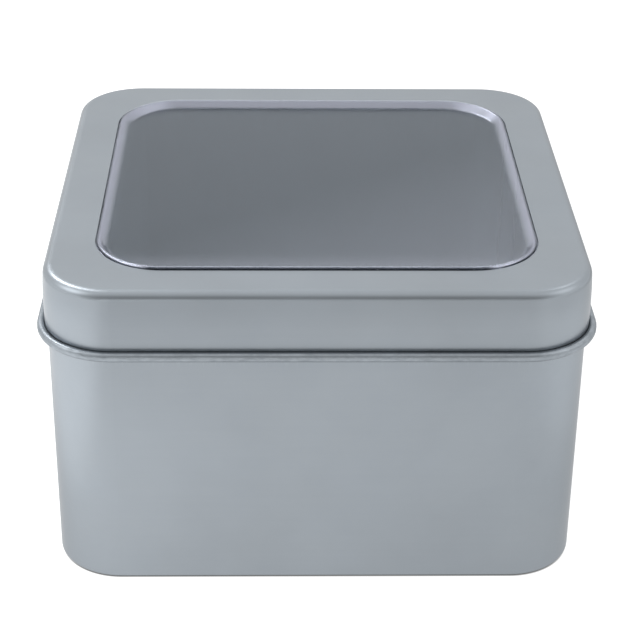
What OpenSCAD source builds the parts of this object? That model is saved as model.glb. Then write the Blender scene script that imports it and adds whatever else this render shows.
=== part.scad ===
// Square slip-lid tin with a clear window in its lid.
// The tin stands on the rim of its bottom seam at z = 0, centred on the origin. Its lid lifts off along +Z.
// Every sheet piece is a profile carried round a rounded square, with flat tiles closing it.

/* [Tin] */
// Outside width of the square body
body_w = 97.8; // [80:0.2:130]
// Outside radius of the body's upright corners
corner_r = 12.4; // [9:0.1:18]
// Height of the closed tin, up to the flat metal of its top
tin_h = 60.5; // [45:0.1:100]
// Thickness of the tinplate
plate = 0.22; // [0.2:0.01:0.3]

/* [Body rim and seams] */
// Outer radius of the curl that turns the top of the wall inwards
rim_r = 1.25; // [1.1:0.05:1.5]
// How far round the rim's curl runs, in degrees
rim_turn = 235; // [190:5:260]
// Outer radius of the bend from the wall into the bottom seam
foot_r = 1; // [0.7:0.05:1.1]
// Width of the flat ring that the tin rests on
foot_flat = 0.4; // [0.3:0.05:0.8]
// Outer radius of the bend from that ring up into the hook
hook_r = 0.4; // [0.35:0.05:0.6]
// Height of the bottom panel's inside face
floor_z = 2; // [1.8:0.1:4]
// Width of the upright lock seam, round the corner that it is in
seam_w = 4; // [3:0.2:5]
// How far the lock seam's folded layers stand into the tin
seam_t = 0.75; // [0.6:0.05:0.9]
// Play between the folded edges of different pieces
fold_gap = 0.05; // [0.04:0.01:0.08]

/* [Lid] */
// Height of the lid, from its flat metal to the bottom of its rolled edge
lid_h = 13.1; // [10:0.1:20]
// Clearance between the body and the lid's skirt
lid_gap = 0.28; // [0.25:0.01:0.4]
// Outer radius of the fold from the lid's top into its skirt
fold_r = 1.7; // [1.4:0.1:2]
// Height over which the skirt curves outwards below the fold
draft_h = 5; // [3:0.5:6]
// How far it comes outwards over that height
draft_in = 0.2; // [0.05:0.05:0.2]
// Height of the rolled edge
roll_h = 1.8; // [1.8:0.1:3]
// How far the rolled edge stands out from the skirt
roll_out = 1.4; // [1.4:0.05:2]
// Outer radius of the rolled edge's two lower bends
roll_low_r = 0.75; // [0.5:0.05:0.75]
// Outer radius of the rolled edge's upper bend, which leads its raw edge back to the skirt
roll_top_r = 0.8; // [0.7:0.05:0.8]
// How far round that upper bend runs, in degrees
roll_turn = 125; // [100:5:135]
// Play between the body's rim and the window's flange above it in the closed tin
rest_gap = 0.1; // [0.05:0.05:0.3]

/* [Window] */
// Width of the metal border round the cut-out
border = 8.9; // [7:0.1:14]
// Corner radius of the cut-out
cut_r = 12.8; // [6:0.2:18]
// Thickness of the clear sheet
sheet = 0.3; // [0.2:0.05:0.4]
// Gap between the cut edge and the outer wall of the window's raised bead
cut_gap = 0.25; // [0.1:0.05:0.4]
// Height of the bead's crest above the flat metal
bead_h = 0.45; // [0.4:0.05:0.6]
// Outer radius of the crest, which starts at the bead's upright outer wall
bead_r = 0.45; // [0.4:0.05:0.5]
// Slope of the bead's inner side, in degrees
bead_slope = 42; // [38:1:60]
// How far the clear pane lies below the flat metal
pane_drop = 0.75; // [0.6:0.05:1]

/* [Hidden] */
$fn = 96;

// Half the distance between the corner centres, which the body and the lid share.
// Profiles are drawn with x measured out from those centres and y as height.
core = body_w / 2 - corner_r;

// Body
rim_top = tin_h - plate - sheet - rest_gap;
hook_x = corner_r - foot_r - foot_flat - hook_r;
hook_top = floor_z - plate - fold_gap;
panel_x = corner_r - plate - fold_gap;
panel_r = 2 * plate;
seam_angle = 45;
seam_half = seam_w / 2 / corner_r * 180 / PI;
seam_groove = 0.15;

// Lid
skirt_in = corner_r + lid_gap;
skirt_out = skirt_in + plate;
lid_bottom = tin_h - lid_h;
draft_r = (pow(draft_h, 2) + pow(draft_in, 2)) / (2 * draft_in);
draft_turn = asin(draft_h / draft_r);
draft_top = thousandth(tin_h - fold_r * (1 - sin(draft_turn)));
fold_x = thousandth(skirt_out - draft_in - fold_r * cos(draft_turn));
top_half = core + fold_x;

// Window
cut_half = core + skirt_out - border;
cut_core = cut_half - cut_r;
sheet_top = tin_h - plate;
flange_half = top_half - fold_gap;
bead_foot = 0.05;
wall_x = cut_r - cut_gap;
crest_x = wall_x - bead_r;
crest_y = tin_h + bead_h - bead_r;
pane_top = tin_h - pane_drop;
pane_bend = 0.3;
slope_drop = crest_y + bead_r * cos(bead_slope) - pane_top - pane_bend * (1 - cos(bead_slope));
slope_len = slope_drop / sin(bead_slope);
pane_x = crest_x - (bead_r + pane_bend) * sin(bead_slope) - slope_len * cos(bead_slope);

// Rounds to a thousandth of a millimetre, so that pieces of a profile meet exactly
function thousandth(length) = round(1000 * length) / 1000;

// A profile carried round a rounded square whose corner centres are half_core out from the middle
module around(half_core) {
    for (side = [0:3]) rotate(90 * side) translate([half_core, half_core, 0]) {
        rotate_extrude(angle = 90) children();
        rotate([90, 0, 0]) linear_extrude(2 * half_core) children();
    }
}

// A rounded square
module tile(half, r) {
    square([2 * half, 2 * (half - r)], center = true);
    square([2 * (half - r), 2 * half], center = true);
    for (sx = [-1, 1], sy = [-1, 1]) translate([sx, sy] * (half - r)) circle(r);
}

// A strip of sheet bent about the origin, from one angle to another
module bend(r, thick, from, to) {
    steps = 4;
    intersection() {
        difference() {
            circle(r);
            circle(r - thick);
        }
        polygon(concat([[0, 0]], [for (i = [0:steps])
            let (a = from + (to - from) * i / steps) 3 * r * [cos(a), sin(a)]]));
    }
}

// The wall in section: the bottom hook, the upright and the rim's curl
module wall_profile() {
    translate([hook_x, hook_r]) square([plate, hook_top - hook_r]);
    translate([hook_x + hook_r, hook_r]) bend(hook_r, plate, 180, 270);
    translate([hook_x + hook_r, 0]) square([foot_flat, plate]);
    translate([corner_r - foot_r, foot_r]) bend(foot_r, plate, 270, 360);
    translate([corner_r - plate, foot_r]) square([plate, rim_top - rim_r - foot_r]);
    translate([corner_r - rim_r, rim_top - rim_r]) bend(rim_r, plate, 0, rim_turn);
}

// The lock seam in plan: three folded layers inside the wall, with a sloping step on one side
module seam_plan() {
    inner_r = corner_r - plate;
    last = seam_angle + seam_half;
    slope = seam_t / inner_r * 180 / PI;
    bend(inner_r + plate / 2, seam_t + plate / 2, seam_angle - seam_half, last);
    polygon([(inner_r + plate / 2) * [cos(last), sin(last)],
             (inner_r - seam_t) * [cos(last), sin(last)],
             inner_r * [cos(last + slope), sin(last + slope)],
             (inner_r + plate / 2) * [cos(last + slope), sin(last + slope)]]);
}

module body_wall() color("silver") {
    seam_bottom = floor_z + fold_gap;
    seam_top = rim_top - 2 * rim_r;
    groove_angle = seam_angle + seam_half;
    difference() {
        around(core) wall_profile();
        translate([core, core, foot_r]) rotate(groove_angle)
            translate([corner_r - plate / 2, -seam_groove / 2, 0])
                cube([plate, seam_groove, rim_top - rim_r - foot_r]);
    }
    translate([core, core, seam_bottom]) linear_extrude(seam_top - seam_bottom) seam_plan();
}

module bottom_panel() color("lightgray") {
    skirt_low = foot_r - plate / 2;
    around(core) {
        translate([panel_x - plate, skirt_low]) square([plate, floor_z - panel_r - skirt_low]);
        translate([panel_x - panel_r, floor_z - panel_r]) bend(panel_r, plate, 0, 90);
    }
    translate([0, 0, floor_z - plate]) linear_extrude(plate)
        tile(core + panel_x - panel_r, panel_x - panel_r);
}

// The lid's fold, skirt and rolled edge in section
module skirt_profile() {
    low_y = lid_bottom + roll_low_r;
    roll_x = skirt_out + roll_out;
    roll_y = lid_bottom + roll_h - roll_top_r;
    draft_y = draft_top - draft_h;
    intersection() {
        translate([fold_x, tin_h - fold_r]) difference() {
            circle(fold_r);
            circle(fold_r - plate);
        }
        translate([fold_x, draft_top]) square(fold_r);
    }
    intersection() {
        difference() {
            translate([skirt_out - draft_r, draft_y]) circle(draft_r);
            translate([skirt_in - draft_r, draft_y]) circle(draft_r);
        }
        translate([skirt_in - plate, draft_y]) square([2 * plate, draft_h]);
    }
    translate([skirt_in, low_y]) square([plate, draft_y - low_y]);
    translate([skirt_in + roll_low_r, low_y]) bend(roll_low_r, plate, 180, 270);
    translate([skirt_in + roll_low_r, lid_bottom])
        square([roll_x - skirt_in - 2 * roll_low_r, plate]);
    translate([roll_x - roll_low_r, low_y]) bend(roll_low_r, plate, 270, 360);
    translate([roll_x - plate, low_y]) square([plate, roll_y - low_y]);
    translate([roll_x - roll_top_r, roll_y]) bend(roll_top_r, plate, 0, roll_turn);
}

module lid_shell() color("silver") {
    around(core) skirt_profile();
    translate([0, 0, tin_h - plate]) linear_extrude(plate) difference() {
        tile(top_half, top_half - core);
        tile(cut_half, cut_r);
    }
}

// The window's raised bead in section: up from the flange, over the crest and down to the pane
module bead_profile() {
    translate([wall_x + bead_foot, sheet_top + bead_foot]) bend(sheet + bead_foot, sheet, 180, 270);
    translate([wall_x - sheet, sheet_top + bead_foot]) square([sheet, crest_y - sheet_top - bead_foot]);
    translate([crest_x, crest_y]) bend(bead_r, sheet, 0, 90 + bead_slope);
    translate([pane_x, pane_top + pane_bend]) {
        bend(pane_bend + sheet, sheet, 270, 270 + bead_slope);
        rotate(bead_slope) translate([0, -pane_bend - sheet]) square([slope_len, sheet]);
    }
}

module window() color([0.85, 0.92, 0.98, 0.5]) {
    flange_x = wall_x + bead_foot;
    around(cut_core) bead_profile();
    translate([0, 0, pane_top - sheet]) linear_extrude(sheet) tile(cut_core + pane_x, pane_x);
    translate([0, 0, sheet_top - sheet]) linear_extrude(sheet) difference() {
        tile(flange_half, flange_half - core);
        tile(cut_core + flange_x, flange_x);
    }
}

body_wall();
bottom_panel();
lid_shell();
window();
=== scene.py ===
"""A square slip-lid tin with a clear window in its lid, closed, on a pale floor in soft studio light."""
import math

import bpy
from mathutils import Matrix, Vector

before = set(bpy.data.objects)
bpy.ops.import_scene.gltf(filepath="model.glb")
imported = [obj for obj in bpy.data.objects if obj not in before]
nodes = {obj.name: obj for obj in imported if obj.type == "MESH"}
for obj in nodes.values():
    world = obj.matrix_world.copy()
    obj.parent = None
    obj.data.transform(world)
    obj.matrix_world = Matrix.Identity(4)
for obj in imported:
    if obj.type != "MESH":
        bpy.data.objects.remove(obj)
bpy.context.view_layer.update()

# Lengths are in metres and angles in degrees. A noise is given by how fast it changes along X, Y and Z, its detail
# and its roughness, and a shift keeps one noise from looking like another.

# Camera: how far it is turned to the right, tipped down and rolled
CAMERA_AT = (-0.00725, -0.33209, 0.20784)
CAMERA_YAW = 1.493
CAMERA_DOWN = 28.333
CAMERA_ROLL = 0.724
SENSOR = 36.0
LENS = 103.87
CLIP_START = 0.01

# Surround. It is brighter than the picture's white. Each patch of it has the direction it lies in (turned to the
# right of straight behind the tin, then up), how far it is even and where it ends, and how much of the surround's
# brightness it adds or takes: the dark side, the two side lamps, two faint glows behind the tin and small lamps.
WHITE = (1.2, 1.2, 1.2, 1)
PATCHES = (
    ((180, 4), 10, 62, -0.6),
    ((-104, 36), 8, 24, 1.6),
    ((104, 36), 8, 24, 0.6),
    ((-60, 20), 20, 80, 0.08),
    ((0, 30), 10, 45, 0.09),
    ((-48, 66), 3, 9, 2.5),
    ((-43, 52), 3, 10, 6.5),
    ((-37, 38), 3, 10, 6.5),
    ((44, 52), 3, 10, 1.5),
)

# Floor. Its glow changes along X, along two other level directions, and with the distance from the tin except
# towards the back: from where, to where, and by how much.
FLOOR_REACH = 3.0
FLOOR_ALBEDO = 0.12
FLOOR_GLOW = 0.88
FLOOR_LEFT = (0.1, -0.12, 0.27)
FLOOR_CORNER = (-0.067, -0.102, 0.38)
FLOOR_SIDE = (0.08, 0.11, 0.16)
FLOOR_RIGHT_WAY = (0.8, -0.6, 0)
FLOOR_RIGHT = (0.085, 0.145, 0.27)
FLOOR_OUT = (0.1, 0.25, -0.61)
FLOOR_FAR = (0.45, 0.85, 0.61)
# Painted shade: along this way the glow is dimmed from just in front of the tin backwards
FLOOR_NEAR_WAY = (0.5, 1, 0)
FLOOR_NEAR_SHADE = (-0.085, -0.055, -0.07)
# A ring of its glow about the tin's foot is dimmed: a painted contact shadow. These are distances from the tin's
# corner centres: where the shadow ends outside the foot, where it ends under the tin, and the share of the glow left
# in it.
TIN_CORE = 0.0365
SHADE_OUTSIDE = (0.0118, 0.0124)
SHADE_INSIDE = (0.0112, 0.0106)
SHADE_LEFT = 0.1

# The values that most of a noise lies between
NOISE_SPAN = (0.3, 0.7)

# Metal: its two tints, its tint at a slant, and its sheen, clouds and waves
METAL_WARM = (0.2675, 0.291, 0.3125, 1)
METAL_COOL = (0.2625, 0.2905, 0.32, 1)
METAL_EDGE = (0.75, 0.75, 0.75, 1)
SHEEN_SHIFT = (1, 2, 3)
SHEEN_NOISE = ((60, 60, 60), 5.0, 0.65)
SHEEN_ROUGH = (0.3, 0.34)
CLOUD_NOISE = ((34, 34, 34), 4.0, 0.6)
CLOUD_TONE = (0.96, 1.04)
WAVE_SHIFT = (3, 1, 2)
WAVE_NOISE = ((17, 17, 17), 1.0, 0.5)
WAVE_HEIGHT = 1.2e-4
# The rolling grain runs along X, and along Y on faces that are turned sideways
SIDEWAYS = (0.6, 0.8)
GRAIN_X_NOISE = ((30, 1500, 1500), 3.0, 0.5)
GRAIN_Y_NOISE = ((1500, 30, 1500), 3.0, 0.5)
GRAIN_TONE = (-0.007, 0.007)
GRAIN_ROUGH = (-0.008, 0.008)
GRAIN_HEIGHT = 5e-7

# Marks of the lid on the body: between which heights, how far inside them they fade, which values of the noise
# they start and end at, and what they add to the metal's tone and roughness
RUB_BAND = (0.045, 0.0595)
RUB_FADE = (0.003, 0.004)
RUB_NOISE = ((2200, 2200, 45), 2.0, 0.5)
RUB_VALUES = (0.56, 0.68)
RUB_TONE = 0.11
RUB_ROUGH = 0.06

# Wear of the lid's rolled edge: the same, for its dull spots and for its bright ones
WORN_BAND = (0.047, 0.0494)
WORN_FADE = (0.0002, 0.0002)
WORN_NOISE = ((500, 500, 1500), 3.0, 0.7)
WORN_TONE = (-0.16, 0.08)
WORN_ROUGH = (0.14, 0.02)

# Window: its film's two tints, clear, and for the bead and the parts of the pane painted lighter, the shares of
# light that it mirrors straight on and at a slant, its roughness on the pane and on the bead, and its waves
FILM = (0.79, 0.875, 0.98, 1)
FILM_BEAD_AND_LIT = (0.81, 0.845, 0.99, 1)
FILM_MIRROR = 0.0468
FILM_SLANT = 0.4
SLANT_POWER = 5.0
FILM_ROUGH = (0.05, 0.24)
FILM_WAVE_NOISE = ((60, 60, 60), 1.0, 0.5)
FILM_WAVE = 1e-5
# Painted light: the pane mirrors more, and so looks lighter, towards its front right corner and along its front:
# from where, to where, and how much
PANE_LIGHT_WAY = (0.6, -0.8, 0)
PANE_LIGHT_CORNER = (0.005, 0.047, 0.038)
PANE_LIGHT_FRONT = (-0.031, -0.0375, 0.031)
# Its scuffs along X and Y and its specks: the values of the noise that they start and end at, and the share that
# they mirror
SCUFF_X_NOISE = ((35, 2600, 1), 3.0, 0.5)
SCUFF_X_VALUES = (0.66, 0.74)
SCUFF_Y_NOISE = ((2600, 60, 1), 3.0, 0.5)
SCUFF_Y_VALUES = (0.68, 0.76)
SPECK_SHIFT = (2, 3, 1)
SPECK_NOISE = ((1300, 1300, 1300), 3.0, 0.5)
SPECK_VALUES = (0.7, 0.76)
MARK_SHARE = 0.015

# Bead. It lies between an inner and an outer radius about the window's corner centres, and each radius is a pair
# for a soft edge. The inner one differs where the bead is seen at a slant and in its corners.
WINDOW_CORE = 0.0277
BEAD_INNER = (0.0099, 0.0109)
BEAD_INNER_SLANT = (0.0103, 0.0117)
BEAD_CORNER = (0.0102, 0.0108)
BEAD_OUTER = (0.01265, 0.0125)
# The product of the X and Y of the way outwards, from that of a corner to that of a straight side
BEAD_STRAIGHT = (0.4, 0.15)
# The shares that it mirrors straight on and at a slant, and from where to where a slant is
BEAD_FACING = 0.258
BEAD_SLANT = 0.212
SLANTED = (0.1, 0.5)
# The outer wall of its straight sides, painted dark as shade: how far it is turned outwards, how far it is seen
# straight on, its painted dark tint and the share that it mirrors
WALL_TURNED = (0.1, 0.35)
WALL_FACING = (0.3, 0.16)
WALL_PAINTED_DARK = (0.07, 0.08, 0.1, 1)
WALL_SHARE = 0.8
# The bright specks on that wall: outside which radius, and the share that they mirror
GLINT_RADIUS = (0.0118, 0.0121)
GLINT_SHARE = 0.5


class Nodes:
    """Builds a node tree: an input is a plain value or the socket that feeds it."""

    def __init__(self, tree):
        self.tree = tree

    def feed(self, node, inputs):
        for name, value in dict(inputs).items():
            if isinstance(value, bpy.types.NodeSocket):
                self.tree.links.new(value, node.inputs[name])
            else:
                node.inputs[name].default_value = value

    def add(self, kind, inputs=(), **settings):
        node = self.tree.nodes.new("ShaderNode" + kind)
        for name, value in settings.items():
            setattr(node, name, value)
        self.feed(node, inputs)
        return node

    def math(self, operation, *values):
        return self.add("Math", enumerate(values), operation=operation).outputs[0]

    def plus(self, first, second):
        return self.math("ADD", first, second)

    def times(self, first, second):
        return self.math("MULTIPLY", first, second)

    def vector(self, operation, *values, out="Vector", scale=None):
        inputs = dict(enumerate(values))
        if scale is not None:
            inputs["Scale"] = scale
        return self.add("VectorMath", inputs, operation=operation).outputs[out]

    def along(self, vector, way):
        return self.vector("DOT_PRODUCT", vector, way, out="Value")

    def split(self, vector):
        return self.add("SeparateXYZ", {"Vector": vector}).outputs

    def span(self, value, start, end, at_start=0.0, at_end=1.0, **settings):
        ends = {"Value": value, "From Min": start, "From Max": end, "To Min": at_start, "To Max": at_end}
        return self.add("MapRange", ends, **settings).outputs["Result"]

    def ramp(self, value, start, end, at_start=0.0, at_end=1.0):
        return self.span(value, start, end, at_start, at_end, interpolation_type="SMOOTHSTEP")

    def mix(self, share, first, second, kind="FLOAT"):
        start = {"FLOAT": 2, "RGBA": 6}[kind]
        node = self.add("Mix", {0: share, start: first, start + 1: second}, data_type=kind)
        return node.outputs[{"FLOAT": 0, "RGBA": 2}[kind]]

    def noise(self, at, stretch, detail, roughness):
        scaled = self.vector("MULTIPLY", at, stretch)
        return self.add("TexNoise", {"Vector": scaled, "Scale": 1.0, "Detail": detail,
                                     "Roughness": roughness}).outputs["Fac"]

    def shifted_noise(self, at, shift, *look):
        return self.noise(self.vector("ADD", at, shift), *look)

    def from_centres(self, place, core):
        """The way to a point from the nearest of a rounded square's corner centres, or from the line between two."""
        way = self.vector("SUBTRACT", self.vector("ABSOLUTE", place), (core, core, 0))
        return self.vector("MAXIMUM", way, (0, 0, 0))

    def bump(self, height):
        return self.add("Bump", {"Height": height, "Distance": 1.0, "Strength": 1.0}).outputs["Normal"]


def link(obj):
    bpy.context.scene.collection.objects.link(obj)
    return obj


def new_material(name):
    """A material, its shader, the builder of its nodes and the socket of an object's own coordinates."""
    mat = bpy.data.materials.new(name)
    mat.use_nodes = True
    n = Nodes(mat.node_tree)
    return mat, mat.node_tree.nodes["Principled BSDF"], n, n.add("TexCoord").outputs["Object"]


def make_camera():
    yaw, down, roll = (math.radians(a) for a in (CAMERA_YAW, CAMERA_DOWN, CAMERA_ROLL))
    ahead = Vector((math.sin(yaw) * math.cos(down), math.cos(yaw) * math.cos(down), -math.sin(down)))
    right = Vector((math.cos(yaw), -math.sin(yaw), 0))
    up = right.cross(ahead)
    right, up = (right * math.cos(roll) + up * math.sin(roll),
                 up * math.cos(roll) - right * math.sin(roll))
    data = bpy.data.cameras.new("camera")
    data.sensor_width = SENSOR
    data.lens = LENS
    data.clip_start = CLIP_START
    camera = link(bpy.data.objects.new("camera", data))
    turn = Matrix((right, up, -ahead)).transposed().to_4x4()
    camera.matrix_world = Matrix.Translation(CAMERA_AT) @ turn
    bpy.context.scene.camera = camera


def make_floor():
    """A light table: nearly all of its white comes from under it, so that the tin casts hardly any shadow.

    It is clear from below, so that a view from there shows the tin's underside.
    """
    mesh = bpy.data.meshes.new("floor")
    r = FLOOR_REACH
    mesh.from_pydata([(-r, -r, 0), (r, -r, 0), (r, r, 0), (-r, r, 0)], [], [(0, 1, 2, 3)])
    floor = link(bpy.data.objects.new("floor", mesh))
    mat, shader, n, place = new_material("floor")
    across = n.split(place)["X"]
    near = n.along(place, FLOOR_NEAR_WAY)
    right = n.along(place, FLOOR_RIGHT_WAY)
    out = n.vector("LENGTH", n.vector("MINIMUM", place, (FLOOR_REACH, 0, 0)), out="Value")
    glow = FLOOR_GLOW
    terms = ((across, FLOOR_LEFT), (across, FLOOR_CORNER), (across, FLOOR_SIDE), (right, FLOOR_RIGHT),
             (out, FLOOR_OUT), (out, FLOOR_FAR), (near, FLOOR_NEAR_SHADE))
    for value, (start, end, amount) in terms:
        glow = n.plus(glow, n.ramp(value, start, end, 0, amount))
    foot = n.vector("LENGTH", n.from_centres(place, TIN_CORE), out="Value")
    # Painted contact shadow: the floor's glow is dimmed in a ring about the tin's foot
    painted_foot_shadow = n.math("MAXIMUM", n.ramp(foot, *SHADE_OUTSIDE, SHADE_LEFT), n.ramp(foot, *SHADE_INSIDE))
    below = n.add("NewGeometry").outputs["Backfacing"]
    n.feed(shader, {
        "Base Color": [FLOOR_ALBEDO * c for c in WHITE[:3]] + [1],
        "Roughness": 1,
        "Specular IOR Level": 0,
        "Emission Color": WHITE,
        "Emission Strength": n.times(glow, painted_foot_shadow),
        "Alpha": n.math("SUBTRACT", 1.0, below),
    })
    mesh.materials.append(mat)


def make_world():
    """A white surround with softly edged patches, lighter and darker, for the studio's lamps and dark side."""
    world = bpy.data.worlds.new("world")
    world.use_nodes = True
    n = Nodes(world.node_tree)
    way = n.add("TexCoord").outputs["Generated"]
    total = 1.0
    for (turn, up), inner, outer, amount in PATCHES:
        turn, up = math.radians(turn), math.radians(up)
        aim = (math.sin(turn) * math.cos(up), math.cos(turn) * math.cos(up), math.sin(up))
        patch = n.ramp(n.along(way, aim), math.cos(math.radians(outer)), math.cos(math.radians(inner)), 0, amount)
        total = n.plus(total, patch)
    n.feed(world.node_tree.nodes["Background"], {"Color": WHITE, "Strength": total})
    bpy.context.scene.world = world


def height_band(n, place, ends, fade):
    """1 between two heights, fading to 0 over a stretch inside each."""
    up = n.split(place)["Z"]
    low, high = ends
    return n.times(n.ramp(up, low, low + fade[0]), n.ramp(up, high, high - fade[1]))


def rub_marks(n, place):
    """What upright marks add to the metal's tone and roughness where the lid slides over the body."""
    marks = n.ramp(n.noise(place, *RUB_NOISE), *RUB_VALUES)
    marks = n.times(height_band(n, place, RUB_BAND, RUB_FADE), marks)
    return n.times(marks, RUB_TONE), n.times(marks, RUB_ROUGH)


def worn_spots(n, place):
    """What dull and bright spots add to the metal's tone and roughness along the edge that is handled."""
    band = height_band(n, place, WORN_BAND, WORN_FADE)
    spots = n.noise(place, *WORN_NOISE)
    return (n.times(band, n.span(spots, *NOISE_SPAN, *WORN_TONE)),
            n.times(band, n.span(spots, *NOISE_SPAN, *WORN_ROUGH)))


def tinplate(name, wear=None):
    """Satin sheet metal: rolling grain, cloudy sheen and slight waves, with the wear that a function adds."""
    mat, shader, n, place = new_material(name)
    facing = n.split(n.vector("ABSOLUTE", n.add("NewGeometry").outputs["Normal"]))
    sideways = n.ramp(facing["X"], *SIDEWAYS)
    grain = n.mix(sideways, n.noise(place, *GRAIN_X_NOISE), n.noise(place, *GRAIN_Y_NOISE))
    cloud = n.noise(place, *CLOUD_NOISE)
    sheen = n.shifted_noise(place, SHEEN_SHIFT, *SHEEN_NOISE)
    wave = n.shifted_noise(place, WAVE_SHIFT, *WAVE_NOISE)
    tone = n.plus(n.span(cloud, *NOISE_SPAN, *CLOUD_TONE), n.span(grain, *NOISE_SPAN, *GRAIN_TONE))
    rough = n.plus(n.span(sheen, *NOISE_SPAN, *SHEEN_ROUGH), n.span(grain, *NOISE_SPAN, *GRAIN_ROUGH))
    height = n.plus(n.times(wave, WAVE_HEIGHT), n.times(grain, GRAIN_HEIGHT))
    if wear:
        more_tone, more_rough = wear(n, place)
        tone = n.plus(tone, more_tone)
        rough = n.plus(rough, more_rough)
    tint = n.mix(sheen, METAL_WARM, METAL_COOL, "RGBA")
    n.feed(shader, {
        "Metallic": 1,
        "Specular Tint": METAL_EDGE,
        "Base Color": n.vector("SCALE", tint, scale=tone),
        "Roughness": rough,
        "Normal": n.bump(height),
    })
    return mat


def clear_sheet():
    """A film that mirrors a share of the light, growing at a slant, and lets the rest straight through."""
    mat, shader, n, place = new_material("clear_sheet")
    facing = n.add("LayerWeight").outputs["Facing"]
    slanted = n.ramp(facing, *SLANTED)

    # Where the bead is: how far out from the window's corner centres a point lies, and whether on a straight side
    corner = n.vector("MULTIPLY", n.from_centres(place, WINDOW_CORE), (1, 1, 0))
    radius = n.vector("LENGTH", corner, out="Value")
    outwards = n.vector("MULTIPLY", n.vector("NORMALIZE", corner), n.vector("SIGN", place))
    part = n.split(n.vector("ABSOLUTE", outwards))
    straight = n.ramp(n.times(part["X"], part["Y"]), *BEAD_STRAIGHT)
    inner = n.mix(slanted, n.ramp(radius, *BEAD_INNER), n.ramp(radius, *BEAD_INNER_SLANT))
    inner = n.mix(straight, n.ramp(radius, *BEAD_CORNER), inner)
    bead = n.times(inner, n.ramp(radius, *BEAD_OUTER))

    # The pane, with its painted lighter parts, its scuffs and its specks
    start, end, amount = PANE_LIGHT_CORNER
    painted_pane_light = n.span(n.along(place, PANE_LIGHT_WAY), start, end, 0, amount)
    start, end, amount = PANE_LIGHT_FRONT
    painted_pane_light = n.plus(painted_pane_light, n.ramp(n.split(place)["Y"], start, end, 0, amount))
    scuffs = n.plus(n.ramp(n.noise(place, *SCUFF_X_NOISE), *SCUFF_X_VALUES),
                    n.ramp(n.noise(place, *SCUFF_Y_NOISE), *SCUFF_Y_VALUES))
    specks = n.ramp(n.shifted_noise(place, SPECK_SHIFT, *SPECK_NOISE), *SPECK_VALUES)
    slant = n.math("POWER", facing, SLANT_POWER)
    mirror = n.plus(n.span(slant, 0, 1, FILM_MIRROR, FILM_SLANT), painted_pane_light)
    mirror = n.plus(mirror, n.times(n.plus(scuffs, specks), MARK_SHARE))

    # The bead. Its outer wall is painted dark on the straight sides where it is seen straight on, apart from its
    # specks:
    # painted shade for the dark inside of the tin, which a clear edge that bends the light would show.
    turned = n.along(outwards, n.add("NewGeometry").outputs["Normal"])
    painted_dark_wall = n.times(n.times(n.ramp(turned, *WALL_TURNED), n.ramp(facing, *WALL_FACING)), straight)
    glints = n.times(specks, n.ramp(radius, *GLINT_RADIUS))
    painted_dark_wall = n.times(painted_dark_wall, n.math("SUBTRACT", 1.0, glints))
    coat = n.mix(painted_dark_wall, n.mix(slanted, BEAD_FACING, BEAD_SLANT), WALL_SHARE)

    share = n.math("MAXIMUM", n.times(glints, GLINT_SHARE), n.mix(bead, mirror, coat))
    # The film takes its second tint on the bead and where the pane is painted lighter
    bead_and_painted_light = n.math("MAXIMUM", bead, n.math("DIVIDE", painted_pane_light, mirror))
    tint = n.mix(painted_dark_wall, n.mix(bead_and_painted_light, FILM, FILM_BEAD_AND_LIT, "RGBA"), WALL_PAINTED_DARK, "RGBA")
    wave = n.noise(place, *FILM_WAVE_NOISE)
    n.feed(shader, {
        "Metallic": 1,
        "Alpha": share,
        "Base Color": tint,
        "Roughness": n.span(bead, 0, 1, *FILM_ROUGH),
        "Normal": n.bump(n.times(wave, FILM_WAVE)),
    })
    return mat


def dress():
    wear = {"body_wall": rub_marks, "lid_shell": worn_spots}
    for name, node in nodes.items():
        finish = clear_sheet() if name == "window" else tinplate("tinplate_" + name, wear.get(name))
        node.data.materials[0] = finish


make_camera()
make_floor()
make_world()
bpy.context.scene.view_settings.view_transform = "Standard"
dress()
